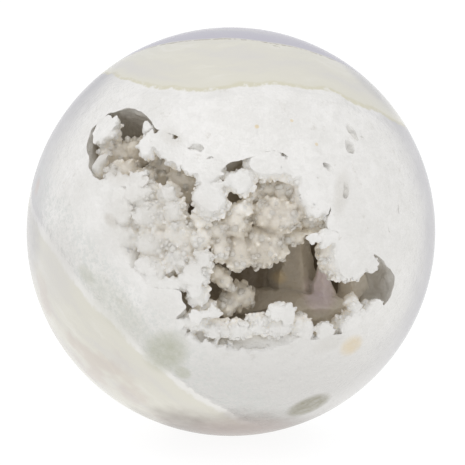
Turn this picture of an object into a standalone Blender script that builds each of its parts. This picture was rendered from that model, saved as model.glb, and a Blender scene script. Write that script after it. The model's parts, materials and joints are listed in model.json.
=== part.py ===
"""A ball ground and polished from a quartz geode, with its own hollows left open and lined with crystals.

Metres, +Z up. The origin is the middle of the small flat that the ball rests on. The hollows face -Y and
look a little upwards.
"""

import math
import random

import bmesh
import bpy
from mathutils import Matrix, Vector

# The ball
BALL_RADIUS = 0.0375
BALL_CUTS = 10
REST_RADIUS = 0.0045
BALL_MIDDLE = Vector((0, 0, math.sqrt(BALL_RADIUS**2 - REST_RADIUS**2)))

# The way the hollows face. Places on the face are millimetres to the right and up, as someone sees them
# who looks straight into the hollows, and how far under the polished surface they lie.
FACE_TILT = math.radians(15)
RIGHT = Vector((1, 0, 0))
UP = Vector((0, math.sin(FACE_TILT), math.cos(FACE_TILT)))
OUT = Vector((0, -math.cos(FACE_TILT), math.sin(FACE_TILT)))
MM = 0.001

# The crust. A crystal's height is a share of its width, and only faces near the light carry crystals.
CRUST_THICKNESS = 0.0026
GAP = 0.0001
WALL_CRYSTAL = 0.30
LUMP_CRYSTAL = 0.34
LIT_DEPTH = 0.010
LUMP_UNEVENNESS = 0.07
SHOWN_SIDE = -0.1
KEPT_SHARE = 0.30
POINT_SHOULDER = 0.62
SEED = 11

# The open spaces: right, up and under the surface, then half the length, width and depth, and the turn
CHAMBERS = {
    "upper hollow": ((-11.2, 10.6, 5.0), (9.2, 3.6, 11.0), -46),
    "upper hollow, left end": ((-18.2, 14.2, 3.0), (6.4, 4.8, 8.5), -52),
    "slot between the hollows": ((-3.4, 2.6, 3.0), (6.4, 3.4, 7.0), -35),
    "middle recess": ((6.4, 3.6, 2.4), (9.8, 8.6, 6.8), 0),
    "main hollow, left": ((2.4, -8.8, 5.0), (10.0, 6.6, 12.5), 4),
    "main hollow, right": ((15.4, -9.0, 5.5), (9.6, 8.2, 14.5), -8),
    "side notch": ((24.0, -9.6, 3.0), (3.8, 3.4, 5.5), 70),
    "left slope": ((-12.8, 0.4, -0.6), (10.5, 8.8, 3.8), -28),
}

# The round lumps of crystals: right, up and under the surface, then the radius
LUMPS = {
    "hanging snowball": ((20.4, -3.0, 3.6), 5.4),
    "right snowball": ((15.4, 7.2, 2.6), 4.2),
    "ledge lump, right": ((6.6, 11.2, 2.4), 3.6),
    "ledge lump, left": ((1.2, 9.0, 2.4), 3.0),
    "middle snowball": ((7.8, 2.8, 4.9), 3.1),
    "middle lump": ((2.4, 3.8, 5.6), 2.6),
    "recess lump": ((10.6, 6.6, 6.4), 2.6),
    "arm lump": ((-3.6, 4.9, 2.9), 3.2),
    "arm foot": ((-5.6, 0.9, 4.2), 2.3),
    "slope lump, low": ((-1.6, -2.9, 5.0), 2.7),
    "slope lump, right": ((1.6, -4.6, 6.0), 2.9),
    "grey lump": ((6.8, -2.8, 7.4), 3.6),
    "back lump": ((12.4, 0.8, 6.2), 2.9),
    "long lump": ((-1.6, -8.6, 8.6), 3.0),
    "round lump": ((-4.3, -13.2, 4.6), 2.3),
    "left ledge": ((-6.0, -7.4, 3.2), 3.0),
    "hanging block": ((-14.8, 15.4, 2.0), 2.2),
    "shelf lump, left": ((-19.0, 9.4, 4.6), 2.9),
    "shelf lump, right": ((-14.6, 8.4, 4.0), 2.6),
    "deep lump, left": ((-20.2, 14.6, 7.4), 3.0),
    "deep lump, right": ((-16.4, 13.0, 8.6), 2.6),
    "lip lump, first": ((12.6, -17.0, 2.4), 2.3),
    "lip lump, second": ((8.6, -16.4, 2.0), 2.1),
    "lip lump, third": ((4.4, -16.2, 1.9), 2.0),
    "notch lump": ((22.0, -13.6, 3.4), 2.3),
    "slope, top": ((-16.4, 5.2, 2.4), 2.8),
    "slope, inner": ((-10.6, 3.4, 2.8), 2.8),
    "slope, outer": ((-20.4, 1.6, 2.6), 2.9),
    "slope, middle": ((-14.6, -0.8, 3.0), 3.0),
    "slope, near the arm": ((-8.6, -2.4, 3.0), 3.0),
    "slope, foot": ((-12.4, -5.8, 2.6), 2.6),
}

# The large crystals in the hollows: foot right, up and under the surface, lean right and up, then sizes
POINTS = {
    "tall crystal": ((11.4, -12.4, 19.5), (0.10, 0.75), (3.0, 13.0)),
    "ridge crystal": ((17.4, -16.0, 17.0), (-0.20, 1.10), (2.3, 13.0)),
    "low crystal": ((4.6, -14.6, 17.0), (0.35, 0.50), (2.6, 9.0)),
    "leaning crystal": ((-23.6, 10.6, 4.4), (0.25, 0.85), (1.6, 6.6)),
}


def under_surface(right, up, under):
    """The point that is `under` mm below the polished surface where a viewer sees (right, up)."""
    radius = BALL_RADIUS / MM
    out = math.sqrt(radius**2 - right**2 - up**2) - under
    return BALL_MIDDLE + (RIGHT * right + UP * up + OUT * out) * MM


def face_axes(turn):
    """A rotation whose X and Y lie in the face, turned by `turn` degrees, and whose Z points outwards."""
    angle = math.radians(turn)
    along = RIGHT * math.cos(angle) + UP * math.sin(angle)
    across = OUT.cross(along)
    return Matrix((along, across, OUT)).transposed().to_4x4()


def new_object(name, bm):
    mesh = bpy.data.meshes.new(name)
    bm.to_mesh(mesh)
    bm.free()
    obj = bpy.data.objects.new(name, mesh)
    bpy.context.scene.collection.objects.link(obj)
    return obj


def raise_crystals(bm, faces, share, chance):
    """Turns each face into a three-sided crystal point, as high as `share` of its width."""
    for face in faces:
        height = share * math.sqrt(face.calc_area()) * chance.uniform(0.5, 1.5)
        bmesh.ops.poke(bm, faces=[face], offset=height)


def depth_of(point):
    """How far a point lies under the polished surface."""
    return BALL_RADIUS - (point - BALL_MIDDLE).length


def chamber(name, place, half_sizes, turn, grow=0.0, crystals=None):
    bm = bmesh.new()
    bmesh.ops.create_icosphere(bm, subdivisions=3, radius=1)
    sizes = [size * MM + grow for size in half_sizes]
    spot = Matrix.Translation(under_surface(*place))
    bm.transform(spot @ face_axes(turn) @ Matrix.Diagonal((*sizes, 1)))
    if crystals:
        shown = [face for face in bm.faces if 0 < depth_of(face.calc_center_median()) < LIT_DEPTH]
        raise_crystals(bm, shown, -WALL_CRYSTAL, crystals)
    return new_object(name, bm)


def lump(name, place, radius, chance):
    bm = bmesh.new()
    bmesh.ops.create_icosphere(bm, subdivisions=2, radius=radius * MM)
    for vert in bm.verts:
        vert.co *= 1 + chance.uniform(-LUMP_UNEVENNESS, LUMP_UNEVENNESS)
    turn = Matrix.Rotation(chance.uniform(0, math.tau), 4, Vector((1, chance.random(), 1)))
    bm.transform(Matrix.Translation(under_surface(*place)) @ turn)
    bm.normal_update()
    shown = [face for face in bm.faces if face.normal.dot(OUT) > SHOWN_SIDE]
    raise_crystals(bm, shown, LUMP_CRYSTAL, chance)
    return new_object(name, bm)


def crystal_point(name, foot, lean, sizes):
    """A six-sided prism that ends in a six-sided point, as quartz grows."""
    width, length = sizes
    bm = bmesh.new()
    bmesh.ops.create_circle(bm, cap_ends=True, segments=6, radius=width * MM)
    base = bm.faces[:]
    prism = bmesh.ops.extrude_face_region(bm, geom=base)
    top = [item for item in prism["geom"] if isinstance(item, bmesh.types.BMVert)]
    bmesh.ops.translate(bm, verts=top, vec=(0, 0, length * POINT_SHOULDER * MM))
    bm.faces.ensure_lookup_table()
    end = max(bm.faces, key=lambda face: face.calc_center_median().z)
    bmesh.ops.poke(bm, faces=[end], offset=length * (1 - POINT_SHOULDER) * MM)
    bmesh.ops.recalc_face_normals(bm, faces=bm.faces[:])
    way = (OUT + RIGHT * lean[0] + UP * lean[1]).normalized()
    turn = way.to_track_quat("Z", "Y").to_matrix().to_4x4()
    bm.transform(Matrix.Translation(under_surface(*foot)) @ turn)
    return new_object(name, bm)


def combine(target, operation, others):
    """Adds, cuts or keeps what `others` share with the target, one after the other, and removes them."""
    for other in others:
        cut = target.modifiers.new(operation, "BOOLEAN")
        cut.operation = operation
        cut.solver = "EXACT"
        cut.object = other
        graph = bpy.context.evaluated_depsgraph_get()
        result = bpy.data.meshes.new_from_object(target.evaluated_get(graph))
        target.modifiers.clear()
        target.data = result
        bpy.data.objects.remove(other)
    return target


def keep_largest(obj):
    """Leaves only the body with the most faces, so that no closed pocket stays."""
    bm = bmesh.new()
    bm.from_mesh(obj.data)
    unseen = set(bm.verts)
    bodies = []
    while unseen:
        body = {unseen.pop()}
        edge_of_body = set(body)
        while edge_of_body:
            near = {e.other_vert(v) for v in edge_of_body for e in v.link_edges}
            edge_of_body = near - body
            body |= near
        unseen -= body
        bodies.append(body)
    bodies.sort(key=len)
    spare = [vert for body in bodies[:-1] for vert in body]
    bmesh.ops.delete(bm, geom=spare, context="VERTS")
    bm.to_mesh(obj.data)
    bm.free()
    return obj


def thin_out(obj, share):
    """Joins small faces until only `share` of them is left, and keeps the sharp crystals."""
    thin = obj.modifiers.new("thin out", "DECIMATE")
    thin.ratio = share
    graph = bpy.context.evaluated_depsgraph_get()
    result = bpy.data.meshes.new_from_object(obj.evaluated_get(graph))
    obj.modifiers.clear()
    obj.data = result


def round_ball(name):
    """A ball of nearly equal triangles."""
    bm = bmesh.new()
    bmesh.ops.create_icosphere(bm, subdivisions=1, radius=BALL_RADIUS)
    bmesh.ops.subdivide_edges(bm, edges=bm.edges[:], cuts=BALL_CUTS, use_grid_fill=True)
    for vert in bm.verts:
        vert.co = vert.co.normalized() * BALL_RADIUS
    bm.transform(Matrix.Translation(BALL_MIDDLE))
    bmesh.ops.recalc_face_normals(bm, faces=bm.faces[:])
    return new_object(name, bm)


def cut_rest(obj):
    """Grinds the small flat at the bottom."""
    bm = bmesh.new()
    bm.from_mesh(obj.data)
    everything = bm.verts[:] + bm.edges[:] + bm.faces[:]
    cut = bmesh.ops.bisect_plane(
        bm, geom=everything, plane_co=(0, 0, 0), plane_no=(0, 0, -1), clear_outer=True
    )
    rim = [item for item in cut["geom_cut"] if isinstance(item, bmesh.types.BMEdge)]
    bmesh.ops.holes_fill(bm, edges=rim, sides=0)
    bm.to_mesh(obj.data)
    bm.free()


def all_chambers(grow=0.0, crystals=None):
    spaces = [
        chamber(name, *sizes, grow=grow, crystals=crystals) for name, sizes in CHAMBERS.items()
    ]
    return combine(spaces[0], "UNION", spaces[1:])


def stone(name, color, roughness):
    material = bpy.data.materials.new(name)
    material.use_nodes = True
    shader = material.node_tree.nodes["Principled BSDF"]
    shader.inputs["Base Color"].default_value = (*color, 1)
    shader.inputs["Roughness"].default_value = roughness
    shader.inputs["Metallic"].default_value = 0
    return material


def stone_ball():
    ball = round_ball("stone_ball")
    cut_rest(ball)
    combine(ball, "DIFFERENCE", [all_chambers(grow=CRUST_THICKNESS)])
    ball.data.materials.clear()
    ball.data.materials.append(stone("polished milky quartz", (0.80, 0.79, 0.76), 0.12))
    ball.data.shade_smooth()
    ball.data.set_sharp_from_angle(angle=math.radians(18))
    return ball


def crystal_crust():
    chance = random.Random(SEED)
    air = all_chambers(crystals=chance)
    lumps = [lump(name, place, radius, chance) for name, (place, radius) in LUMPS.items()]
    points = [crystal_point(name, *sizes) for name, sizes in POINTS.items()]
    combine(air, "DIFFERENCE", lumps + points)
    keep_largest(air)
    thin_out(air, KEPT_SHARE)
    crust = all_chambers(grow=CRUST_THICKNESS - GAP)
    crust.name = "crystal_crust"
    combine(crust, "INTERSECT", [round_ball("outline")])
    combine(crust, "DIFFERENCE", [air])
    keep_largest(crust)
    crust.data.materials.clear()
    crust.data.materials.append(stone("white druse", (0.78, 0.77, 0.74), 0.35))
    return crust


def main():
    for obj in list(bpy.data.objects):
        bpy.data.objects.remove(obj)
    stone_ball()
    crystal_crust()


main()
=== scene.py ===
import json
import math
import random

import bpy
import numpy as np
from mathutils import Matrix, Vector, noise

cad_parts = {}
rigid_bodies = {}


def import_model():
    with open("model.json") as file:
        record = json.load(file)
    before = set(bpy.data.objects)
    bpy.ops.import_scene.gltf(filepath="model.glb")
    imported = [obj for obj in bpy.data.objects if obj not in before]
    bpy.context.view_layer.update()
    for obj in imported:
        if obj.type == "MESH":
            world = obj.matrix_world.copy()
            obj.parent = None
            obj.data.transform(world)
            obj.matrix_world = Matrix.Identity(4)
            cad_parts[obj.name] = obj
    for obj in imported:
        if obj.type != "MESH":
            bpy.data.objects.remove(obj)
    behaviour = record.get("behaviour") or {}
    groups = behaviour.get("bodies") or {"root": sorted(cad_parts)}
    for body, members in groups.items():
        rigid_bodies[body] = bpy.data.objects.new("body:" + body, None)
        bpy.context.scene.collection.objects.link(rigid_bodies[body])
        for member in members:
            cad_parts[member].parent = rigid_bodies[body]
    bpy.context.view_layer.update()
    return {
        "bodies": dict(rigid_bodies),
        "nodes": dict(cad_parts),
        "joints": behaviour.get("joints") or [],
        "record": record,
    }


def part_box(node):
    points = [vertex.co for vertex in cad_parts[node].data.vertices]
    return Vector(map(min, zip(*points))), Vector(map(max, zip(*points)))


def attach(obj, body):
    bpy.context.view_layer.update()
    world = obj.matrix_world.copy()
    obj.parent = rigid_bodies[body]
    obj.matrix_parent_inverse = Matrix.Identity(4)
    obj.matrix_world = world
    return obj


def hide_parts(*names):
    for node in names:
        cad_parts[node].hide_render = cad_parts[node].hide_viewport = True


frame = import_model()

mm = 0.001

# The ball stands on its small flat, and its hollows look out 15 degrees above the level
ball = {
    "radius": 37.5 * mm,
    "faceTilt": math.radians(15),
    "fineness": 6,
    "polish": 0.01 * mm,  # each piece of the crust is polished this much lower than the one around it
    "mouthWider": 1.9 * mm,
    "mouthJags": ((2.6 * mm, 0.8 * mm), (0.9 * mm, 0.35 * mm)),
    "restFlat": 0.0,
    "cutExactness": 1e-6,  # how near to the flat a point counts as on it
    "smoothAngle": 25,
}
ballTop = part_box("stone_ball")[1][2]
middle = Vector((0, 0, ballTop - ball["radius"]))
rightWay = Vector((1, 0, 0))
upWay = Vector((0, math.sin(ball["faceTilt"]), math.cos(ball["faceTilt"])))
outWay = Vector((0, -math.cos(ball["faceTilt"]), math.sin(ball["faceTilt"])))

# Open spaces: right, up and under the surface in mm, then half the length, width and depth, and the turn
chambers = {
    "upper hollow": ((-10.9, 9.9, 5.0), (9.4, 4.4, 11.0), -43),
    "upper hollow, left end": ((-18.6, 14.4, 3.2), (6.4, 5.2, 8.5), -52),
    "slot between the hollows": ((-3.4, 2.6, 3.0), (6.4, 3.4, 7.0), -35),
    "middle recess": ((6.2, 3.8, 2.4), (9.8, 8.2, 6.8), 0),
    "between the hollows": ((3.4, -3.2, 1.6), (9.6, 4.4, 5.4), -6),
    "main hollow, left": ((2.4, -8.8, 5.0), (10.0, 6.6, 12.5), 4),
    "main hollow, right": ((15.2, -9.0, 5.5), (9.4, 8.2, 14.5), -8),
    "side notch": ((24.2, -9.4, 3.0), (3.4, 3.4, 5.5), 80),
    "left slope": ((-12.8, 0.4, -0.6), (10.5, 8.8, 3.8), -28),
    "lower lip": ((3.6, -17.6, -0.5), (13.0, 3.4, 2.4), -2),
}

# Small pits in the polished face, told the same way
pits = {
    "pit over the arm": ((-6.8, 14.4, 0.05), (2.0, 1.1, 0.9), 10),
    "pit beside it": ((-3.8, 12.9, 0.05), (0.6, 0.4, 0.45), 0),
    "bean pit, low": ((21.2, 15.2, -0.05), (2.6, 1.3, 0.85), 60),
    "bean pit, high": ((21.7, 17.8, -0.05), (2.0, 1.2, 0.8), 110),
    "bean tick": ((23.6, 17.0, -0.15), (0.7, 0.4, 0.26), 30),
    "groove over the right snowball": ((17.4, 11.4, -0.05), (3.2, 0.6, 0.52), -12),
    "groove beside it": ((20.4, 7.6, -0.05), (3.0, 0.7, 0.52), 75),
    "small pit": ((13.2, 9.8, 0.05), (0.7, 0.5, 0.45), 0),
    "right ring": ((30.2, 3.9, -0.15), (1.2, 0.9, 0.26), 20),
    "right tick": ((28.4, 0.4, -0.15), (0.9, 0.4, 0.26), 60),
    "long low pit, left": ((2.6, -20.4, -0.05), (1.9, 0.8, 0.52), -6),
    "long low pit, right": ((5.8, -21.0, -0.05), (1.9, 0.9, 0.52), 12),
    "top chip": ((8.3, 33.5, -0.15), (0.7, 0.4, 0.26), 0),
}

# Round lumps of crystals in and around the hollows, told the same way
lumps = {
    "hanging snowball": ((20.6, -2.8, 3.2), (5.0, 5.9, 4.6), -15),
    "right snowball": ((14.8, 6.8, 2.0), (3.7, 4.4, 3.6), 0),
    "under the right snowball": ((14.2, 2.2, 5.4), (2.4, 1.6, 2.0), 0),
    "drop under it": ((14.4, 0.3, 6.0), (1.3, 1.2, 1.4), 0),
    "middle snowball": ((8.0, 2.8, 5.3), (4.2, 3.1, 3.2), -10),
    "grey lump": ((5.7, -2.6, 6.8), (3.9, 3.5, 3.4), 20),
    "beside the grey lump": ((10.6, -0.8, 6.8), (2.0, 1.5, 2.0), 0),
    "low lump, left": ((-1.7, -2.9, 5.0), (1.6, 2.4, 2.2), -10),
    "low lump, right": ((1.5, -3.9, 5.8), (2.2, 2.9, 2.6), 0),
    "arm": ((-3.6, 5.2, 2.4), (3.2, 2.7, 2.8), -30),
    "arm foot": ((-5.3, 2.0, 3.6), (1.7, 1.7, 1.9), 0),
    "under the arm": ((-2.4, 0.2, 5.0), (2.0, 1.8, 2.2), 0),
    "hanging tooth": ((1.7, 8.5, 1.8), (2.4, 2.0, 2.4), 0),
    "flat lump": ((1.8, 4.0, 4.0), (2.3, 1.3, 1.8), 8),
    "lump under it": ((0.7, 1.3, 5.2), (2.6, 1.8, 2.2), -15),
    "upper ledge, left": ((6.1, 11.7, 1.9), (3.6, 2.6, 3.0), 5),
    "upper ledge, right": ((11.0, 11.2, 2.2), (2.8, 2.6, 2.8), 0),
    "grey net, first": ((3.4, 6.9, 5.6), (1.8, 1.6, 2.0), 0),
    "grey net, second": ((6.2, 7.4, 6.0), (2.2, 1.6, 2.0), 0),
    "grey net, third": ((9.6, 7.4, 5.6), (2.0, 1.8, 2.2), 0),
    "grey net, fourth": ((11.6, 5.0, 5.2), (1.8, 1.6, 2.0), 0),
    "inner wall, right": ((-7.6, 8.4, 8.0), (3.6, 2.6, 2.6), -40),
    "inner wall, middle": ((-11.2, 11.4, 10.0), (3.2, 2.6, 2.6), -40),
    "hanging block": ((-15.0, 14.8, 1.4), (1.3, 1.9, 1.7), 20),
    "upper lip, first": ((-11.9, 15.6, 1.5), (2.2, 2.0, 2.3), -40),
    "upper lip, second": ((-9.3, 13.8, 1.5), (2.6, 2.2, 2.5), -38),
    "upper lip, third": ((-6.6, 12.4, 1.5), (2.4, 2.1, 2.5), -35),
    "upper lip, fourth": ((-3.8, 10.6, 1.5), (2.4, 2.1, 2.5), -30),
    "upper lip, left": ((-22.3, 18.0, 1.5), (2.6, 2.2, 2.4), 30),
    "back lump, left": ((-20.6, 13.6, 7.6), (2.8, 2.6, 2.6), 0),
    "back lump, right": ((-16.8, 14.2, 9.0), (2.4, 2.4, 2.4), 0),
    "shelf, left": ((-19.2, 10.2, 5.0), (3.2, 2.1, 2.6), 10),
    "shelf, right": ((-15.2, 9.2, 5.4), (2.0, 1.8, 2.2), -20),
    "shelf, deep": ((-12.6, 9.8, 8.6), (2.4, 1.8, 2.2), -40),
    "under the shelf": ((-21.6, 7.6, 2.5), (3.4, 2.1, 2.4), 12),
    "slope top": ((-15.4, 6.6, 3.0), (3.4, 2.3, 2.6), -12),
    "slope top, right": ((-11.1, 6.3, 3.0), (2.2, 1.9, 2.4), -30),
    "slope edge": ((-9.9, 3.4, 2.8), (1.9, 2.2, 2.3), 0),
    "slope, first": ((-13.8, 2.6, 3.0), (3.0, 2.5, 2.4), 0),
    "slope, second": ((-18.2, 3.6, 2.7), (3.2, 2.7, 2.3), 0),
    "slope, third": ((-22.8, 3.0, 2.3), (2.7, 2.6, 2.0), 0),
    "slope, fourth": ((-9.0, -0.6, 3.4), (2.9, 2.3, 2.4), 0),
    "slope, fifth": ((-13.5, -2.0, 2.9), (3.3, 2.6, 2.2), 10),
    "slope, sixth": ((-18.4, -1.0, 2.4), (3.0, 2.5, 2.0), 0),
    "slope, seventh": ((-5.5, -1.6, 3.8), (2.0, 2.2, 2.2), 0),
    "slope, eighth": ((-8.8, -4.8, 3.0), (3.0, 2.4, 2.2), 0),
    "slope foot": ((-13.6, -6.2, 2.3), (3.2, 2.1, 1.9), -25),
    "ledge over the hollow": ((-6.2, -7.2, 2.6), (2.7, 2.3, 2.6), 20),
    "ledge foot": ((-6.0, -10.6, 2.8), (1.9, 2.2, 2.4), 0),
    "long lump": ((-1.7, -8.3, 6.4), (2.7, 1.2, 1.8), -45),
    "round lump": ((-4.2, -13.6, 4.0), (1.9, 1.7, 2.0), 0),
    "beside the round lump": ((-1.0, -13.2, 7.0), (2.0, 1.7, 2.0), 0),
    "behind the round lump": ((1.2, -11.4, 9.0), (2.6, 2.4, 2.8), 0),
    "lower lip, first": ((-6.2, -15.6, 2.6), (2.3, 1.7, 2.0), 0),
    "lower lip, second": ((-2.4, -17.0, 2.7), (2.3, 1.6, 2.2), 0),
    "lower lip, third": ((1.6, -17.2, 2.7), (2.3, 1.6, 2.2), 0),
    "lower lip, fourth": ((4.9, -16.4, 2.9), (2.0, 1.7, 2.2), 0),
    "lower lip, fifth": ((8.2, -16.8, 2.8), (2.4, 1.8, 2.2), 0),
    "lower lip, sixth": ((12.2, -17.3, 3.0), (2.2, 2.3, 2.4), 0),
    "right lip": ((21.3, -16.4, 2.2), (3.2, 2.3, 2.8), 25),
    "right lip tooth": ((21.8, -12.9, 3.2), (1.2, 1.8, 1.6), 10),
    "right lip, high": ((24.9, -14.4, 1.8), (2.4, 1.9, 2.2), 40),
}


def place(right, up, under=0.0):
    # the spot under the polished surface that is seen at (right, up) mm from the ball's middle
    out = math.sqrt((ball["radius"] / mm) ** 2 - right**2 - up**2) - under
    return middle + (rightWay * right + upWay * up + outWay * out) * mm


def faceTurn(degrees):
    angle = math.radians(degrees)
    along = rightWay * math.cos(angle) + upWay * math.sin(angle)
    across = outWay.cross(along)
    return Matrix((along, across, outWay)).transposed().to_4x4()


def selectOnly(piece):
    bpy.ops.object.select_all(action="DESELECT")
    piece.select_set(True)
    bpy.context.view_layer.objects.active = piece


def applyAll(piece):
    selectOnly(piece)
    for modifier in list(piece.modifiers):
        bpy.ops.object.modifier_apply(modifier=modifier.name)


def addEgg(name, spot, halfSizes, turn, fineness, grow=0.0):
    bpy.ops.object.select_all(action="DESELECT")
    bpy.ops.mesh.primitive_ico_sphere_add(subdivisions=fineness, radius=1)
    egg = bpy.context.object
    egg.name = name
    sizes = [half * mm + grow for half in halfSizes]
    egg.data.transform(Matrix.Translation(place(*spot)) @ faceTurn(turn) @ Matrix.Diagonal((*sizes, 1)))
    return egg


def carve(piece, operation, tools):
    # tries the solver for closed meshes first, and the exact one where that changes nothing
    for tool in tools:
        before = len(piece.data.vertices)
        for solver in ("MANIFOLD", "EXACT"):
            cut = piece.modifiers.new("carve", "BOOLEAN")
            cut.operation = operation
            cut.solver = solver
            cut.object = tool
            applyAll(piece)
            if len(piece.data.vertices) != before:
                break
        bpy.data.objects.remove(tool)
    return piece


def addSpace(grow, fineness):
    eggs = [addEgg(name, *sizes, grow=grow, fineness=fineness) for name, sizes in chambers.items()]
    return carve(eggs[0], "UNION", eggs[1:])


def joinAll(pieces):
    bpy.ops.object.select_all(action="DESELECT")
    for piece in pieces:
        piece.select_set(True)
    bpy.context.view_layer.objects.active = pieces[0]
    bpy.ops.object.join()
    return pieces[0]


def readPoints(mesh):
    points = np.empty(len(mesh.vertices) * 3, np.float32)
    mesh.vertices.foreach_get("co", points)
    return points.reshape(-1, 3).astype(np.float64)


def writePoints(mesh, points):
    mesh.vertices.foreach_set("co", points.astype(np.float32).reshape(-1))
    mesh.update()


def grindTo(mesh, limit):
    # grinds off what stands further out than the limit, one radius for all points or one for each
    centre = np.array(middle)
    away = readPoints(mesh) - centre
    distance = np.linalg.norm(away, axis=1)
    writePoints(mesh, away * np.minimum(1, limit / distance)[:, None] + centre)


def spaceDistance(points):
    # how far outside the open spaces each point lies, in metres
    nearest = np.full(len(points), 1.0)
    for spot, halfSizes, turn in chambers.values():
        local = (points - np.array(place(*spot))) @ np.array(faceTurn(turn).to_3x3())
        half = np.array(halfSizes) * mm
        stretched = np.linalg.norm(local / half, axis=1)
        length = np.linalg.norm(local, axis=1)
        nearest = np.minimum(nearest, length * (1 - 1 / np.maximum(stretched, 1e-6)))
    return nearest


# Camera, floor and light
studio = {
    "distance": 0.90,
    "ballInPicture": 204.4 / 465,  # the ball's radius as a share of the picture's width
    "pictureShift": (0.0034, -0.0019),
    "filmWidth": 36.0,
    "floorReach": 4.0,
    "floorGlow": 0.90,
    "floorColor": (0.13, 0.13, 0.13),
    "worldColor": (0.96, 0.97, 1.0),
    "worldStrength": 0.78,
    "floorRoughness": 0.9,
    "farEnd": 20,
}

# Lamps: where, size, power and colour
lamps = {
    "skyPanel": ((0.0, -0.30, 1.1), 0.9, 3.4, (1.0, 0.99, 0.98)),
    "sidePanel": ((-0.9, -0.7, 0.6), 0.6, 0.5, (0.97, 0.98, 1.0)),
}


def addCamera():
    bpy.ops.object.camera_add(location=middle + outWay * studio["distance"])
    camera = bpy.context.object
    camera.name = "photoCamera"
    camera.rotation_euler = (-outWay).to_track_quat("-Z", "Y").to_euler()
    half = math.tan(math.asin(ball["radius"] / studio["distance"]))
    camera.data.sensor_width = studio["filmWidth"]
    camera.data.lens = studio["ballInPicture"] * studio["filmWidth"] / half
    camera.data.shift_x, camera.data.shift_y = studio["pictureShift"]
    camera.data.clip_end = studio["farEnd"]
    bpy.context.scene.camera = camera


def addFloor():
    bpy.ops.object.select_all(action="DESELECT")
    bpy.ops.mesh.primitive_circle_add(vertices=96, radius=studio["floorReach"], fill_type="NGON")
    floor = bpy.context.object
    floor.name = "studioFloor"
    material = bpy.data.materials.new("paleFloor")
    material.use_nodes = True
    shader = material.node_tree.nodes["Principled BSDF"]
    shader.inputs["Base Color"].default_value = (*studio["floorColor"], 1)
    shader.inputs["Roughness"].default_value = studio["floorRoughness"]
    shader.inputs["Emission Color"].default_value = (1, 1, 1, 1)
    shader.inputs["Emission Strength"].default_value = studio["floorGlow"]
    floor.data.materials.append(material)


def addLamp(name, spot, size, power, color):
    bpy.ops.object.light_add(type="AREA", location=spot)
    lamp = bpy.context.object
    lamp.name = name
    lamp.data.shape = "DISK"
    lamp.data.size = size
    lamp.data.energy = power
    lamp.data.color = color
    lamp.rotation_euler = (Vector(middle) - Vector(spot)).to_track_quat("-Z", "Y").to_euler()


def addStudio():
    addCamera()
    addFloor()
    for name, settings in lamps.items():
        addLamp(name, *settings)
    world = bpy.data.worlds.new("softSky")
    world.use_nodes = True
    sky = world.node_tree.nodes["Background"]
    sky.inputs["Color"].default_value = (*studio["worldColor"], 1)
    sky.inputs["Strength"].default_value = studio["worldStrength"]
    bpy.context.scene.world = world
    bpy.context.scene.view_settings.view_transform = "Standard"
    print("studio is up")


# Shader maths: a Wire is one output socket, and sums of wires add the nodes
class Wire:
    def __init__(self, tree, socket):
        self.tree = tree
        self.socket = socket

    def node(self, kind, settings, sockets, output=0):
        made = self.tree.nodes.new(kind)
        for name, value in settings.items():
            setattr(made, name, value)
        for name, value in sockets.items():
            if isinstance(value, Wire):
                self.tree.links.new(value.socket, made.inputs[name])
            else:
                made.inputs[name].default_value = value
        return Wire(self.tree, made.outputs[output])

    def math(self, operation, first, second=0.0):
        return self.node("ShaderNodeMath", {"operation": operation}, {0: first, 1: second})

    def __add__(self, other):
        return self.math("ADD", self, other)

    def __radd__(self, other):
        return self.math("ADD", other, self)

    def __sub__(self, other):
        return self.math("SUBTRACT", self, other)

    def __rsub__(self, other):
        return self.math("SUBTRACT", other, self)

    def __mul__(self, other):
        return self.math("MULTIPLY", self, other)

    def __rmul__(self, other):
        return self.math("MULTIPLY", other, self)

    def ramp(self, low, high):
        # 0 at low and 1 at high, smooth between
        settings = {"interpolation_type": "SMOOTHSTEP"}
        return self.node("ShaderNodeMapRange", settings, {"Value": self, "From Min": low, "From Max": high})

    def blend(self, first, second):
        # first where the mask is 0 and second where it is 1
        return self.node("ShaderNodeMix", {"data_type": "RGBA"}, {0: self, 6: first, 7: second}, 2)

    def along(self, way):
        return self.node("ShaderNodeVectorMath", {"operation": "DOT_PRODUCT"}, {0: self, 1: way}, 1)

    def grain(self, scale, detail=2.0, roughness=0.5, bend=0.0):
        sockets = {"Vector": self, "Scale": scale, "Detail": detail, "Roughness": roughness}
        sockets["Distortion"] = bend
        return self.node("ShaderNodeTexNoise", {}, sockets)

    def cells(self, scale, output="Distance"):
        return self.node("ShaderNodeTexVoronoi", {}, {"Vector": self, "Scale": scale}, output)


def tone(red, green, blue):
    # a colour as a picture shows it, 0 to 255, made a share of light
    shares = []
    for value in (red, green, blue):
        value /= 255
        shares.append(value / 12.92 if value <= 0.04045 else ((value + 0.055) / 1.055) ** 2.4)
    return (*shares, 1)


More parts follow.
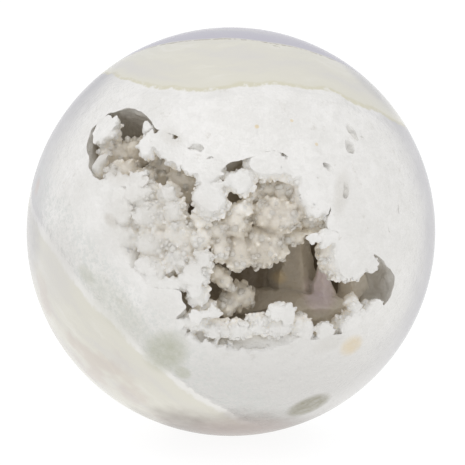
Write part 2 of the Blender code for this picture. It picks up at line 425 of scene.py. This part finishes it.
# Colours of the stone, as the photograph shows them; the low and foot tones are painted shade, the rim grey
# is partly painted reflection, and the glow tone is painted light
stoneTones = {
    "milk": tone(240, 238, 234),
    "milkShade": tone(227, 225, 220),
    # the grey of the rind, partly painted reflection along the ball's edge
    "greyAndRimReflection": tone(184, 182, 184),
    "cream": tone(219, 216, 203),
    "creamGrey": tone(213, 210, 205),
    "lavender": tone(187, 184, 193),
    "yellowGreen": tone(207, 202, 176),
    "whiteBand": tone(232, 230, 225),
    "greenGrey": tone(182, 183, 165),
    "ovalSpot": tone(150, 146, 128),
    "pink": tone(196, 178, 170),
    "rust": tone(150, 90, 40),
    "ochre": tone(222, 196, 140),
    "beige": tone(202, 197, 187),
    "brownGrey": tone(172, 162, 146),
    "darkBrown": tone(128, 114, 94),
    "warmWhite": tone(230, 228, 223),
    # painted glow: the colour of the light the crust gives off in the hollows
    "paintedGlowTone": tone(114, 106, 93),
    # painted shade: the tone the ball turns towards its bottom
    "paintedLowShade": tone(212, 210, 206),
    # painted shade along the ball's bottom edge
    "foot": tone(142, 132, 124),
    "frost": tone(204, 208, 203),
    "lilac": tone(197, 181, 191),
}


def faceWay(right, up, out):
    return tuple(rightWay * right + upWay * up + outWay * out)


# Layers of the rind are flat sheets in the stone: their way across it, and how far from the middle in mm
layers = {
    "creamTop": (faceWay(0.155, 1.0, -0.023), 25.4),
    "lavenderTop": (faceWay(0.08, 1.0, -0.50), 27.9),
    "creamLow": (faceWay(-0.674, -0.696, -0.248), 18.6),
}

# Marks of the stone's own colour, and marks of painted shade and painted rim reflection: where, reach in
# mm, softness, share of width, turn, strength and colour
marks = {
    "green patch": ((-11.7, -21.5, 0), 6.4, 0.9, 0.75, 50, 0.75, "greenGrey"),
    "green patch, low": ((-8.6, -25.2, 0), 1.9, 0.6, 1.0, 0, 0.6, "greenGrey"),
    "green hint, left": ((-25.8, -7.6, 0), 3.0, 0.9, 0.5, -50, 0.4, "greenGrey"),
    "oval spot": ((14.1, -31.5, 0), 5.0, 0.5, 0.6, 20, 0.9, "ovalSpot"),
    "pink smear": ((-35.2, 8.2, 0), 2.2, 0.7, 0.4, 80, 0.6, "pink"),
    "pink foot": ((2.0, -36.0, 0), 12.0, 0.9, 0.3, 0, 0.35, "pink"),
    "yellow stain": ((21.6, -20.4, 0), 3.2, 0.9, 0.8, 0, 0.45, "ochre"),
    "rust grain": ((-5.9, -12.8, 0), 0.5, 0.3, 1.0, 0, 0.9, "rust"),
    "ochre grain, first": ((4.6, 18.6, 0), 0.5, 0.5, 1.0, 0, 0.6, "ochre"),
    "ochre grain, second": ((10.8, 19.7, 0), 0.4, 0.5, 1.0, 0, 0.5, "ochre"),
    "ochre grain, third": ((15.2, 15.5, 0), 0.4, 0.5, 1.0, 0, 0.5, "ochre"),
    "brown grains": ((-20.9, 1.8, 1), 2.4, 0.8, 0.6, -40, 0.35, "brownGrey"),
    "lilac ridge": ((16.2, -10.4, 11), 5.0, 0.6, 0.8, 80, 0.7, "lilac"),
    "ochre face": ((6.8, -8.0, 14), 4.4, 0.8, 0.5, -10, 0.6, "ochre"),
    # painted shade in the upper hollow
    "painted shade, upper hollow": ((-18.8, 11.8, 4), 7.5, 0.7, 0.75, -40, 0.45, "brownGrey"),
    # painted shade over the recessed middle snowball
    "painted shade, middle snowball": ((8.6, 3.0, 3.2), 6.5, 0.8, 0.8, 0, 0.50, "brownGrey"),
    "warm slope": ((-11.5, 1.0, 3), 14.0, 0.8, 0.75, -28, 0.40, "beige"),
    # grey rims: partly the grey of the rind, partly painted reflection along the ball's edge
    "grey rim with painted reflection, right": ((25.0, 27.4, 0), 10.0, 0.9, 0.3, -48, 0.65, "greyAndRimReflection"),
    "grey rim with painted reflection, left": ((-36.4, 0.0, 0), 9.5, 0.9, 0.5, 90, 0.60, "greyAndRimReflection"),
    # painted shade in the middle recess
    "painted shade, recess": ((2.8, -1.6, 4.5), 8.0, 0.8, 0.7, -10, 0.40, "brownGrey"),
    "pale left": ((-31.5, -6.0, 0), 11.0, 0.8, 0.55, 75, 0.55, "creamGrey"),
    # painted shade beside the hollows' edges
    "beige shade, right": ((19.6, 7.0, 0), 6.0, 0.9, 0.3, 80, 0.35, "beige"),
    "beige shade, top": ((-10.6, 16.8, 0), 3.0, 0.9, 0.6, -30, 0.30, "beige"),
    "beige shade, foot": ((17.6, -20.0, 0), 4.5, 0.9, 0.4, 20, 0.25, "beige"),
    "blue band": ((-20.4, -13.6, 0), 11.0, 0.8, 0.35, -48, 0.30, "greenGrey"),
}


def markMask(at, spot, reach, softness, squash, turn):
    # 1 in the middle of a mark and 0 past its reach
    centre = place(*spot) - middle
    spin = faceTurn(turn).to_3x3()
    local = [(spin.col[i].dot(centre)) / mm for i in range(3)]
    along = at.along(tuple(spin.col[0])) - local[0]
    across = (at.along(tuple(spin.col[1])) - local[1]) * (1 / squash)
    out = at.along(tuple(spin.col[2])) - local[2]
    square = along * along + across * across + out * out
    return square.ramp(reach**2, (reach * (1 - softness)) ** 2)


def cellShade(at, scale):
    # a value of its own for each crystal grain
    cells = at.cells(scale, output="Color")
    return cells.node("ShaderNodeSeparateColor", {}, {0: cells})


def streaks(at, level, way, length=0.05, width=0.26):
    # mottling drawn out along a layer
    sockets = {0: at.along(way) * length, 1: level * width, 2: 0.0}
    return at.node("ShaderNodeCombineXYZ", {}, sockets).grain(1.0, 4.0, 0.55)


def milkColour(at, fine):
    cloud = at.grain(0.10, 4.0, 0.6)
    colour = cloud.ramp(0.32, 0.72).blend(stoneTones["milk"], stoneTones["milkShade"])
    patchy = at.grain(0.5, 3.0, 0.6).ramp(0.35, 0.68)
    colour = (patchy * 0.35).blend(colour, stoneTones["milkShade"])
    colour = (cellShade(at, 0.75).ramp(0.4, 1.0) * 0.45).blend(colour, stoneTones["milkShade"])
    colour = (at.grain(1.3, 4.0, 0.7).ramp(0.5, 0.68) * 0.4).blend(colour, stoneTones["milk"])
    stain = at.grain(0.30, 5.0, 0.7).ramp(0.58, 0.72) * fine.ramp(0.35, 0.6)
    colour = (stain * 0.6).blend(colour, stoneTones["beige"])
    # greyer in a band towards the ball's edge as seen from its face: partly the grey of the rind, partly
    # painted reflection at the edge
    outer = at.along(tuple(outWay)) + (cloud - 0.5) * 10.0
    behind = (outer + (patchy - 0.5) * 5.0).ramp(3.0, -9.0)
    colour = (outer.ramp(19.0, 6.5) * (1 - behind * 0.8)).blend(colour, stoneTones["greyAndRimReflection"])
    billows = at.grain(0.07, 4.0, 0.6, 1.5).ramp(0.38, 0.60) * behind
    colour = (billows * 0.7).blend(colour, stoneTones["creamGrey"])
    # painted shade: greyer towards the bottom of the ball
    lower = at.along(tuple(upWay)) + (cloud - 0.5) * 6.0
    colour = lower.ramp(-13.0, -31.0).blend(colour, stoneTones["paintedLowShade"])
    return colour, lower


def topLayers(at, colour, wave, fine):
    way, start = layers["creamTop"]
    fold = at.along(tuple(rightWay)) * 0.1257 - 0.138
    top = at.along(way) - fold.math("SINE", fold) * 2.2 + wave * 2.4 + (fine - 0.5) * 0.5 - start
    drawn = streaks(at, top, tuple(rightWay))
    colour = top.ramp(0.0, 0.4).blend(colour, stoneTones["cream"])
    colour = (drawn.ramp(0.40, 0.66) * top.ramp(0.6, 2.4) * 0.8).blend(colour, stoneTones["creamGrey"])
    colour = (drawn.ramp(0.47, 0.34) * top.ramp(0.6, 2.4) * 0.4).blend(colour, stoneTones["whiteBand"])
    line = top.ramp(-0.4, 0.0) * (1 - top.ramp(0.1, 0.7)) * fine.ramp(0.25, 0.55) * 0.8
    colour = line.blend(colour, stoneTones["yellowGreen"])
    way, start = layers["lavenderTop"]
    crown = at.along(way) + wave * 1.6 + (fine - 0.5) * 0.4 - start
    banded = streaks(at, crown + wave * 4.0, tuple(rightWay), 0.03, 0.32)
    colour = crown.ramp(0.0, 0.8).blend(colour, stoneTones["lavender"])
    colour = (banded.ramp(0.40, 0.62) * crown.ramp(2.5, 8.0) * 0.8).blend(colour, stoneTones["creamGrey"])
    colour = (crown.ramp(8.0, 15.0) * 0.8 * banded.ramp(0.62, 0.42)).blend(colour, stoneTones["whiteBand"])
    edge = crown.ramp(-0.35, 0.0) * (1 - crown.ramp(0.0, 0.4)) * fine.ramp(0.4, 0.6)
    edge = edge * at.along(tuple(outWay)).ramp(-2.0, 8.0)
    return (edge * 0.6).blend(colour, stoneTones["darkBrown"]), top


def lowLayers(at, colour, wave, fine):
    way, start = layers["creamLow"]
    low = at.along(way) + wave * 2.4 + (fine - 0.5) * 1.4 - start
    drawn = streaks(at, low, faceWay(0.72, -0.70, 0.0))
    frost = low.ramp(-10.0, -6.0) * (1 - low.ramp(-0.8, -0.2)) * at.grain(1.1, 4.0, 0.7).ramp(0.44, 0.58)
    colour = (frost * 0.42).blend(colour, stoneTones["frost"])
    colour = low.ramp(-0.3, 0.1).blend(colour, stoneTones["whiteBand"])
    colour = (low.ramp(0.5, 1.4) * 0.9).blend(colour, stoneTones["cream"])
    colour = (drawn.ramp(0.42, 0.64) * low.ramp(1.5, 5.0) * 0.8).blend(colour, stoneTones["creamGrey"])
    colour = (drawn.ramp(0.48, 0.34) * low.ramp(1.5, 4.0) * 0.45).blend(colour, stoneTones["whiteBand"])
    pinkish = at.grain(0.12, 3.0).ramp(0.45, 0.6) * low.ramp(3.0, 8.0)
    return (pinkish * 0.35).blend(colour, stoneTones["pink"]), low


def stoneColour(at):
    away = at.node("ShaderNodeVectorMath", {"operation": "LENGTH"}, {0: at}, 1)
    depth = ball["radius"] / mm - away
    wave = at.grain(0.16, 3.0, 0.5) - 0.5
    fine = at.grain(0.9, 3.0, 0.6)
    colour, lower = milkColour(at, fine)
    colour, top = topLayers(at, colour, wave, fine)
    colour, low = lowLayers(at, colour, wave, fine)
    # painted shade: darker still along the bottom edge
    colour = lower.ramp(-31.0, -36.5).blend(colour, stoneTones["foot"])
    sugary = (1 - top.ramp(-2.0, 0.0)) * (1 - low.ramp(-2.0, 0.0)) * at.along(tuple(outWay)).ramp(8.0, 20.0)
    colour = (depth.ramp(0.06, 0.7) * 0.85).blend(colour, stoneTones["warmWhite"])
    # deeper in the hollows the crust turns beige, brown-grey and dark brown: partly its own stain, partly
    # painted shade
    deep = depth + wave * 2.0
    colour = deep.ramp(1.2, 5.0).blend(colour, stoneTones["beige"])
    colour = deep.ramp(5.0, 11.0).blend(colour, stoneTones["brownGrey"])
    colour = (deep.ramp(11.0, 20.0) * 0.8).blend(colour, stoneTones["darkBrown"])
    for spot, reach, softness, squash, turn, strength, toneName in marks.values():
        mask = markMask(at, spot, reach, softness, squash, turn)
        if reach > 1.5:
            mask = mask * (0.5 + fine)
        colour = (mask * strength).blend(colour, stoneTones[toneName])
    return colour, depth, fine, sugary


# Ground faces are polished, light scatters under the surface of the crystals, and a painted glow brightens
# the crust in the hollows
gloss = {
    "refraction": 1.54,
    "shine": 0.3,
    "polished": 0.16,
    "crystal": 0.26,
    "glassiness": 1.0,  # share of the light that is scattered under the crystals' surface
    "softness": 2.2 * mm,
    # strength of the painted glow in the hollows
    "paintedGlowStrength": 0.6,
    "bump": 0.4,
    "bumpHeight": 0.35 * mm,
}


def makeStone(name, scatterAndPaintedGlow):
    material = bpy.data.materials.new(name)
    material.use_nodes = True
    tree = material.node_tree
    ground = tree.nodes["Principled BSDF"]
    start = Wire(tree, tree.nodes.new("ShaderNodeTexCoord").outputs["Object"])
    shift = start.node("ShaderNodeVectorMath", {"operation": "SUBTRACT"}, {0: start, 1: tuple(middle)})
    at = shift.node("ShaderNodeVectorMath", {"operation": "SCALE"}, {0: shift, "Scale": 1 / mm})
    colour, depth, fine, sugary = stoneColour(at)
    skin = depth.ramp(0.03, 0.25)
    rough = gloss["polished"] + skin * (gloss["crystal"] - gloss["polished"]) + fine * 0.12
    pitted = at.grain(0.8, 4.0, 0.65) + at.cells(1.1) * 0.25 + at.grain(0.32, 3.0, 0.5) * 2.0
    relief = at.grain(2.2, 3.0, 0.6) * (0.15 + skin) + pitted * sugary * 2.0
    sockets = {"Strength": gloss["bump"], "Distance": gloss["bumpHeight"], "Height": relief}
    bump = at.node("ShaderNodeBump", {}, sockets)
    tree.links.new(colour.socket, ground.inputs["Base Color"])
    tree.links.new(rough.socket, ground.inputs["Roughness"])
    tree.links.new(bump.socket, ground.inputs["Normal"])
    ground.inputs["IOR"].default_value = gloss["refraction"]
    ground.inputs["Specular IOR Level"].default_value = gloss["shine"]
    if scatterAndPaintedGlow:
        sockets = {
            "Base Color": colour,
            "Roughness": rough,
            "Normal": bump,
            "IOR": gloss["refraction"],
            "Specular IOR Level": gloss["shine"],
            "Subsurface Weight": gloss["glassiness"],
            "Subsurface Radius": (1.0, 0.95, 0.85),
            "Subsurface Scale": gloss["softness"],
        }
        # painted glow: the crust gives off light of its own, strongest from about 2 to 7 mm under the
        # surface, to brighten the hollows
        glow = depth.ramp(0.2, 2.2) * (1 - depth.ramp(7.0, 15.0) * 0.6)
        sockets["Emission Color"] = glow.blend((0, 0, 0, 1), stoneTones["paintedGlowTone"])
        sockets["Emission Strength"] = gloss["paintedGlowStrength"]
        inner = at.node("ShaderNodeBsdfPrincipled", {}, sockets)
        under = depth.ramp(0.3, 1.2)
        sockets = {0: under, 1: Wire(tree, ground.outputs["BSDF"]), 2: inner}
        both = at.node("ShaderNodeMixShader", {}, sockets)
        output = tree.nodes["Material Output"]
        tree.links.new(both.socket, output.inputs["Surface"])
    return material


def finish(piece, material, node=None, smooth=None):
    piece.data.materials.clear()
    piece.data.materials.append(material)
    selectOnly(piece)
    if smooth is None:
        bpy.ops.object.shade_flat()
    else:
        bpy.ops.object.shade_smooth_by_angle(angle=math.radians(smooth))
    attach(piece, "root")
    if node:
        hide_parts(node)
    print(piece.name, "has", len(piece.data.polygons), "faces")


def roughen(piece, waves):
    # moves each point a little, by smooth noise of a few sizes
    points = readPoints(piece.data)
    for index, point in enumerate(points):
        for size, height in waves:
            points[index] += np.array(noise.noise_vector(Vector(point) / size) * height)
    writePoints(piece.data, points)


def remesh(piece, voxel):
    skin = piece.modifiers.new("skin", "REMESH")
    skin.mode = "VOXEL"
    skin.voxel_size = voxel
    applyAll(piece)


def soften(piece, times):
    smooth = piece.modifiers.new("soften", "SMOOTH")
    smooth.factor = 0.5
    smooth.iterations = times
    applyAll(piece)


mostTriangles = 190000


def thinOut(piece):
    count = sum(len(face.vertices) - 2 for face in piece.data.polygons)
    print(piece.name, "before thinning", count)
    if count > mostTriangles:
        thin = piece.modifiers.new("thin", "DECIMATE")
        thin.ratio = mostTriangles / count
        applyAll(piece)


# What the hollows and the pits are cut with
cutters = {
    "spaceFineness": 5,
    "spaceVoxel": 0.4 * mm,
    "pitFineness": 4,
    "pitWaves": ((1.5 * mm, 0.30 * mm), (0.7 * mm, 0.10 * mm)),
}


def roughSpace(grow, waves):
    # the open space with uneven walls, remeshed so that no wall folds over itself
    space = addSpace(grow, cutters["spaceFineness"])
    roughen(space, waves)
    remesh(space, cutters["spaceVoxel"])
    return space


def addPits():
    made = [addEgg(name, *sizes, fineness=cutters["pitFineness"]) for name, sizes in pits.items()]
    for pit in made:
        roughen(pit, cutters["pitWaves"])
    return made


def makeBall(material):
    bpy.ops.object.select_all(action="DESELECT")
    size = ball["radius"]
    bpy.ops.mesh.primitive_ico_sphere_add(subdivisions=ball["fineness"], radius=size, location=middle)
    piece = bpy.context.object
    piece.name = "stoneBall"
    bpy.ops.object.transform_apply(location=True, rotation=True, scale=True)
    bpy.ops.object.mode_set(mode="EDIT")
    bpy.ops.mesh.select_all(action="SELECT")
    flat = (0, 0, ball["restFlat"])
    down = (0, 0, -1)
    near = ball["cutExactness"]
    bpy.ops.mesh.bisect(plane_co=flat, plane_no=down, use_fill=True, clear_outer=True, threshold=near)
    bpy.ops.object.mode_set(mode="OBJECT")
    mouth = roughSpace(ball["mouthWider"], ball["mouthJags"])
    carve(piece, "DIFFERENCE", [mouth] + addPits())
    finish(piece, material, "stone_ball", ball["smoothAngle"])


# Copies of one small model, each with its own points
def copyTo(name, model, frames):
    source = readPoints(model.data)
    source = np.c_[source, np.ones(len(source))]
    faces = [list(face.vertices) for face in model.data.polygons]
    points = np.concatenate([source @ np.array(frame).T for frame in frames])[:, :3]
    allFaces = []
    for index in range(len(frames)):
        start = index * len(source)
        allFaces += [[start + corner for corner in face] for face in faces]
    bpy.data.objects.remove(model)
    mesh = bpy.data.meshes.new(name)
    mesh.from_pydata(points.tolist(), [], allFaces)
    mesh.update()
    piece = bpy.data.objects.new(name, mesh)
    bpy.context.scene.collection.objects.link(piece)
    return piece


# Shapes of the small models, as shares of their width or height
modelShape = {
    "toothTop": 0.42,
    "slant": (0.12, 0.05),
    "tip": 0.08,
}


def modelBud():
    bpy.ops.object.select_all(action="DESELECT")
    bpy.ops.mesh.primitive_ico_sphere_add(subdivisions=2, radius=1)
    return bpy.context.object


def modelTooth():
    # a short six-sided stump, wider at its foot
    bpy.ops.object.select_all(action="DESELECT")
    top = modelShape["toothTop"]
    bpy.ops.mesh.primitive_cone_add(vertices=6, radius1=1, radius2=top, depth=1, location=(0, 0, 0.5))
    tooth = bpy.context.object
    bpy.ops.object.transform_apply(location=True, rotation=True, scale=True)
    return tooth


def modelPoint(shoulder):
    # a six-sided prism with a six-sided end, some of its end faces larger, as quartz has them
    bpy.ops.object.select_all(action="DESELECT")
    bpy.ops.mesh.primitive_cylinder_add(vertices=6, radius=1, depth=shoulder, location=(0, 0, shoulder / 2))
    point = bpy.context.object
    bpy.ops.object.transform_apply(location=True, rotation=True, scale=True)
    bpy.ops.object.mode_set(mode="EDIT")
    bpy.ops.mesh.select_mode(type="FACE")
    bpy.ops.mesh.select_all(action="DESELECT")
    bpy.ops.object.mode_set(mode="OBJECT")
    for face in point.data.polygons:
        face.select = face.center.z > shoulder * 0.99
    bpy.ops.object.mode_set(mode="EDIT")
    bpy.ops.mesh.extrude_region_move(TRANSFORM_OT_translate={"value": (*modelShape["slant"], 1 - shoulder)})
    bpy.ops.transform.resize(value=(modelShape["tip"], modelShape["tip"], 1))
    bpy.ops.object.mode_set(mode="OBJECT")
    return point


def aim(way, spin):
    return way.to_track_quat("Z", "Y").to_matrix().to_4x4() @ Matrix.Rotation(spin, 4, "Z")


def sized(width, height):
    return Matrix.Diagonal((width, width, height, 1))


# The snowballs: lumps, buds on the lumps, and blunt teeth on both
snow = {
    "seed": 4,
    "budsPerArea": 0.22,  # for each square mm
    "budSize": (1.0, 1.9),
    "budLeast": 0.4,
    "fullLump": 4,  # half the size in mm from which a lump has buds of full size
    "budSunk": 0.62,
    "teethPerArea": 0.6,
    "toothWidth": (0.45, 0.85),
    "toothHeight": (0.80, 1.50),
    "faceTeeth": 0.25,  # share of the teeth that is left where a lump looks at the viewer
    "faceSide": 0.55,  # from where on a tooth counts as one that looks at the viewer
    "toothSunk": 0.45,
    "budWidth": (0.7, 1.0),
    "budHeight": (0.8, 1.2),
    "budTooth": 0.9,  # how far out on its bud a tooth stands
    "outwards": 1.6,
    "lean": 0.2,
    "rimStep": 1.1,
    "rimSize": (0.55, 1.3),
    "rimOut": 0.55,
    "rimUnder": (0.55, 1.25),
    "rimStretch": (0.75, 1.3),
    "rimInside": -0.12 * mm,  # edges that lie further than this in another open space have no lumps
    "fineness": 3,
    "voxel": 0.19 * mm,
    "softened": 2,
    "shownSide": -0.35,
    "smoothAngle": 32,
}


def rimLumps(chance):
    # small lumps all along the edges of the hollows
    found = {}
    for name, (spot, halfSizes, turn) in chambers.items():
        share = math.sqrt(max(0.05, 1 - (spot[2] / halfSizes[2]) ** 2))
        turned = math.radians(turn)
        around = int(math.tau * (halfSizes[0] + halfSizes[1]) / 2 * share / snow["rimStep"])
        for step in range(around):
            angle = math.tau * step / around
            along = math.cos(angle) * halfSizes[0] * share
            across = math.sin(angle) * halfSizes[1] * share
            right = spot[0] + along * math.cos(turned) - across * math.sin(turned)
            up = spot[1] + along * math.sin(turned) + across * math.cos(turned)
            size = chance.uniform(*snow["rimSize"])
            if spaceDistance(np.array([place(right, up)]))[0] < snow["rimInside"]:
                continue
            outwards = math.hypot(right - spot[0], up - spot[1])
            right += (right - spot[0]) / outwards * size * snow["rimOut"]
            up += (up - spot[1]) / outwards * size * snow["rimOut"]
            under = size * chance.uniform(*snow["rimUnder"])
            sizes = [size * chance.uniform(*snow["rimStretch"]) for _ in range(3)]
            found[f"{name}, rim {step}"] = ((right, up, under), sizes, chance.uniform(0, 180))
    return found


def eggSurface(egg, perArea, chance):
    # places spread over one lump, with the way out of it
    spot, halfSizes, turn = egg
    stand = Matrix.Translation(place(*spot)) @ faceTurn(turn)
    area = 4 * math.pi * (sum(halfSizes) / 3) ** 2
    for _ in range(int(area * perArea)):
        ray = Vector([chance.gauss(0, 1) for _ in range(3)]).normalized()
        foot = stand @ (Vector([ray[i] * halfSizes[i] for i in range(3)]) * mm)
        way = Vector([ray[i] / halfSizes[i] for i in range(3)]).normalized()
        way = (stand.to_3x3() @ way).normalized()
        if way.dot(outWay) > snow["shownSide"]:
            yield foot, way


def makeSnow(material):
    chance = random.Random(snow["seed"])
    eggs = dict(lumps)
    eggs.update(rimLumps(chance))
    bodies = [addEgg(name, *sizes, fineness=snow["fineness"]) for name, sizes in eggs.items()]
    buds = []
    teeth = []
    for egg in eggs.values():
        fullness = min(1, snow["budLeast"] + sum(egg[1]) / 3 / snow["fullLump"])
        for foot, way in eggSurface(egg, snow["budsPerArea"], chance):
            size = chance.uniform(*snow["budSize"]) * fullness * mm
            spin = aim(way, chance.uniform(0, math.tau))
            width = size * chance.uniform(*snow["budWidth"])
            height = size * chance.uniform(*snow["budHeight"])
            stretch = Matrix.Diagonal((size, width, height, 1))
            buds.append(Matrix.Translation(foot - way * size * snow["budSunk"]) @ spin @ stretch)
            ray = (Vector([chance.gauss(0, 1) for _ in range(3)]) + way * snow["outwards"]).normalized()
            teeth.append((foot - way * size * snow["budSunk"] + ray * size * snow["budTooth"], ray))
        teeth += list(eggSurface(egg, snow["teethPerArea"], chance))
    frames = []
    for foot, way in teeth:
        if way.dot(outWay) > snow["faceSide"] and chance.random() > snow["faceTeeth"]:
            continue
        way = (way + Vector([chance.gauss(0, snow["lean"]) for _ in range(3)])).normalized()
        width = chance.uniform(*snow["toothWidth"]) * mm
        height = chance.uniform(*snow["toothHeight"]) * mm
        stand = Matrix.Translation(foot - way * height * snow["toothSunk"])
        frames.append(stand @ aim(way, chance.uniform(0, math.tau)) @ sized(width, height))
    parts = bodies + [copyTo("buds", modelBud(), buds), copyTo("teeth", modelTooth(), frames)]
    piece = joinAll(parts)
    piece.name = "snowballs"
    remesh(piece, snow["voxel"])
    soften(piece, snow["softened"])
    thinOut(piece)
    grindTo(piece.data, ball["radius"] - 2 * ball["polish"])
    finish(piece, material, None, snow["smoothAngle"])
    return piece


crust = {
    "thickness": 4.2 * mm,
    "spare": 0.30 * mm,
    "worn": (0.75 * mm, 1.7 * mm),  # how much lower the ring is at the hollow's edge, and how wide it is
    "voxel": 0.30 * mm,
    "domes": (2.4 * mm, 0.5 * mm),
    "cones": (0.95 * mm, 0.28 * mm),
    "coneLevel": 0.55,  # cell distance at which domes and cones neither rise nor sink
    "wallWaves": ((3.2 * mm, 0.9 * mm), (1.3 * mm, 0.35 * mm)),
    "fineness": 3,
    "smoothAngle": 40,
}


def growCones(piece):
    # the skin of the crust: domes with smaller crystal cones on them
    mesh = piece.data
    points = readPoints(mesh)
    normals = np.empty(len(points) * 3, np.float32)
    mesh.vertices.foreach_get("normal", normals)
    normals = normals.reshape(-1, 3)
    for index, point in enumerate(points):
        where = Vector(point)
        height = 0.0
        for size, rise in (crust["domes"], crust["cones"]):
            near = noise.voronoi(where / size)[0]
            height += rise * (crust["coneLevel"] - near[0])
        points[index] += normals[index] * height
    writePoints(mesh, points)


def wearRing(mesh):
    # the ring around each hollow slopes down from the polished ball
    drop, width = crust["worn"]
    low = np.clip(1 - spaceDistance(readPoints(mesh)) / width, 0, 1) * drop
    grindTo(mesh, ball["radius"] - low)


def makeCrust(material):
    base = addSpace(crust["thickness"], crust["fineness"])
    remesh(base, crust["voxel"] * 2)
    grindTo(base.data, ball["radius"] + crust["spare"])
    air = roughSpace(0.0, crust["wallWaves"])
    piece = carve(base, "DIFFERENCE", [air] + addPits())
    piece.name = "crystalCrust"
    remesh(piece, crust["voxel"])
    wearRing(piece.data)
    growCones(piece)
    thinOut(piece)
    grindTo(piece.data, ball["radius"] - ball["polish"])
    finish(piece, material, "crystal_crust", crust["smoothAngle"])
    return piece


# Bright small crystals stand all over the druse, and larger ones in the hollows
tips = {
    "wallCount": 1500,
    "lumpCount": 700,
    "radius": (0.26 * mm, 0.60 * mm),
    "height": (0.7, 1.3),
    "sunk": 0.45,
    "lean": 0.28,
    "deepest": 16.0 * mm,
    "leastDepth": 0.15 * mm,
    "reach": 2.4 * mm,  # how far from an open space a tip may stand
    "shownSide": -0.5,
    "deepGrowth": 0.04,  # how much wider a tip is for each mm under the surface
    "shoulder": 0.55,
    "seed": 5,
}

# Foot right, up and under the surface, lean right and up, then half the width and the length
bigCrystals = {
    "tall": ((10.4, -14.4, 21.0), (0.08, 1.60), (4.8, 25.0)),
    "ridge": ((17.0, -18.6, 15.0), (-0.14, 1.45), (3.9, 16.0)),
    "low": ((-2.0, -14.2, 19.0), (6.00, 0.15), (4.6, 27.0)),
    "right wall": ((23.6, -14.0, 14.5), (-0.35, 1.20), (3.8, 15.0)),
    "leaning": ((-23.6, 10.2, 4.2), (0.25, 0.85), (1.5, 6.8)),
    "lip pyramid": ((12.2, -18.6, 4.0), (-0.05, 0.75), (1.8, 4.4)),
    "lip pyramid, left": ((7.6, -17.9, 3.8), (0.10, 0.70), (1.7, 4.0)),
    "lip point, left": ((3.2, -17.4, 3.4), (-0.15, 0.75), (1.3, 3.4)),
    "lip point, right": ((15.8, -19.0, 3.4), (-0.30, 0.70), (1.2, 3.2)),
    "lip point, low": ((-1.6, -17.6, 3.2), (0.20, 0.60), (1.2, 3.0)),
    "long crystal": ((-3.6, -6.4, 8.6), (0.75, -0.60), (1.1, 5.0)),
    "slope crystal": ((-9.4, 3.9, 3.4), (-0.3, 0.4), (0.8, 3.0)),
    "flat bar": ((-13.6, 4.4, 3.2), (-0.2, 0.1), (0.7, 2.6)),
}


bigShape = {
    "shoulder": 0.32,
    "spin": 0.4,
    "voxel": 0.3 * mm,
    "softened": 2,
    "waves": ((2.2 * mm, 0.30 * mm), (0.8 * mm, 0.10 * mm)),
    "smoothAngle": 24,
}


def makeBigCrystals(material):
    frames = []
    for foot, lean, (width, length) in bigCrystals.values():
        way = (outWay + rightWay * lean[0] + upWay * lean[1]).normalized()
        stand = Matrix.Translation(place(*foot))
        frames.append(stand @ aim(way, bigShape["spin"]) @ sized(width * mm, length * mm))
    piece = copyTo("bigCrystals", modelPoint(bigShape["shoulder"]), frames)
    remesh(piece, bigShape["voxel"])
    soften(piece, bigShape["softened"])
    roughen(piece, bigShape["waves"])
    grindTo(piece.data, ball["radius"] - 3 * ball["polish"])
    finish(piece, material, None, bigShape["smoothAngle"])


def scatter(piece, count, chance):
    mesh = piece.data
    total = len(mesh.polygons)
    centres = np.empty(total * 3, np.float32)
    normals = np.empty(total * 3, np.float32)
    areas = np.empty(total, np.float32)
    mesh.polygons.foreach_get("center", centres)
    mesh.polygons.foreach_get("normal", normals)
    mesh.polygons.foreach_get("area", areas)
    centres = centres.reshape(-1, 3).astype(np.float64)
    normals = normals.reshape(-1, 3).astype(np.float64)
    depth = ball["radius"] - np.linalg.norm(centres - np.array(middle), axis=1)
    usable = (spaceDistance(centres) < tips["reach"]) & (depth > tips["leastDepth"])
    usable &= (depth < tips["deepest"]) & (normals @ np.array(outWay) > tips["shownSide"])
    sums = np.cumsum(areas * usable)
    frames = []
    for _ in range(count):
        index = int(np.searchsorted(sums, chance.random() * sums[-1]))
        way = Vector(normals[index]) + Vector([chance.gauss(0, tips["lean"]) for _ in range(3)])
        way.normalize()
        radius = chance.uniform(*tips["radius"]) * (1 + tips["deepGrowth"] * depth[index] / mm)
        height = radius * chance.uniform(*tips["height"])
        foot = Vector(centres[index]) - way * height * tips["sunk"]
        stand = Matrix.Translation(foot)
        frames.append(stand @ aim(way, chance.uniform(0, math.tau)) @ sized(radius, height))
    return frames


def makeTips(snowballs, walls, material):
    chance = random.Random(tips["seed"])
    frames = scatter(snowballs, tips["lumpCount"], chance)
    frames += scatter(walls, tips["wallCount"], chance)
    piece = copyTo("quartzTips", modelPoint(tips["shoulder"]), frames)
    grindTo(piece.data, ball["radius"] - 3 * ball["polish"])
    finish(piece, material)


addStudio()
polished = makeStone("polishedMilkyQuartz", scatterAndPaintedGlow=False)
druse = makeStone("whiteDruse", scatterAndPaintedGlow=True)
tipStone = makeStone("brightCrystal", scatterAndPaintedGlow=False)
makeBall(polished)
crystalCrust = makeCrust(druse)
snowballs = makeSnow(druse)
makeBigCrystals(druse)
makeTips(snowballs, crystalCrust, tipStone)
